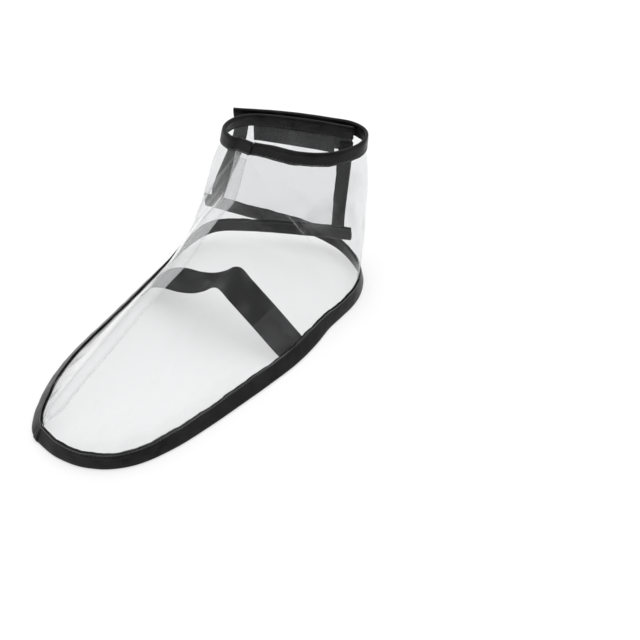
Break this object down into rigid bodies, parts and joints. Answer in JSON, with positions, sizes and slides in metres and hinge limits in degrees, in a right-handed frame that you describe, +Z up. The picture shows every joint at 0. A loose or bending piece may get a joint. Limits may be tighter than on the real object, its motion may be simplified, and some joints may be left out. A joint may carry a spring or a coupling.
{
  "type": "shoe cover",
  "caption": "Clear film shoe and ankle cover, open underneath, with dark bound edges, a hook-and-loop closure behind the ankle and an elastic strap under the foot.",
  "frame": {"origin": "on the floor under the middle of the cover's outline", "axes": "+X towards the inner side of the foot, -Y towards the toe, +Z up"},
  "size_m": [0.1536, 0.2976, 0.1217],
  "materials": {
    "film": "clear soft film, glossy",
    "tape": "black folded binding tape with fine lines along it",
    "patch": "dark hook and loop tape, matt",
    "strap": "black woven elastic, matt"
  },
  "bodies": {
    "root": {"medial_panel": "film", "lateral_panel": "film", "medial_bottom_binding": "tape", "lateral_bottom_binding": "tape", "medial_collar_binding": "tape", "lateral_collar_binding": "tape", "medial_flap_binding": "tape", "lateral_flap_binding": "tape", "hook_patch": "patch", "loop_patch": "patch", "instep_strap": "strap"}
  },
  "joints": []
}
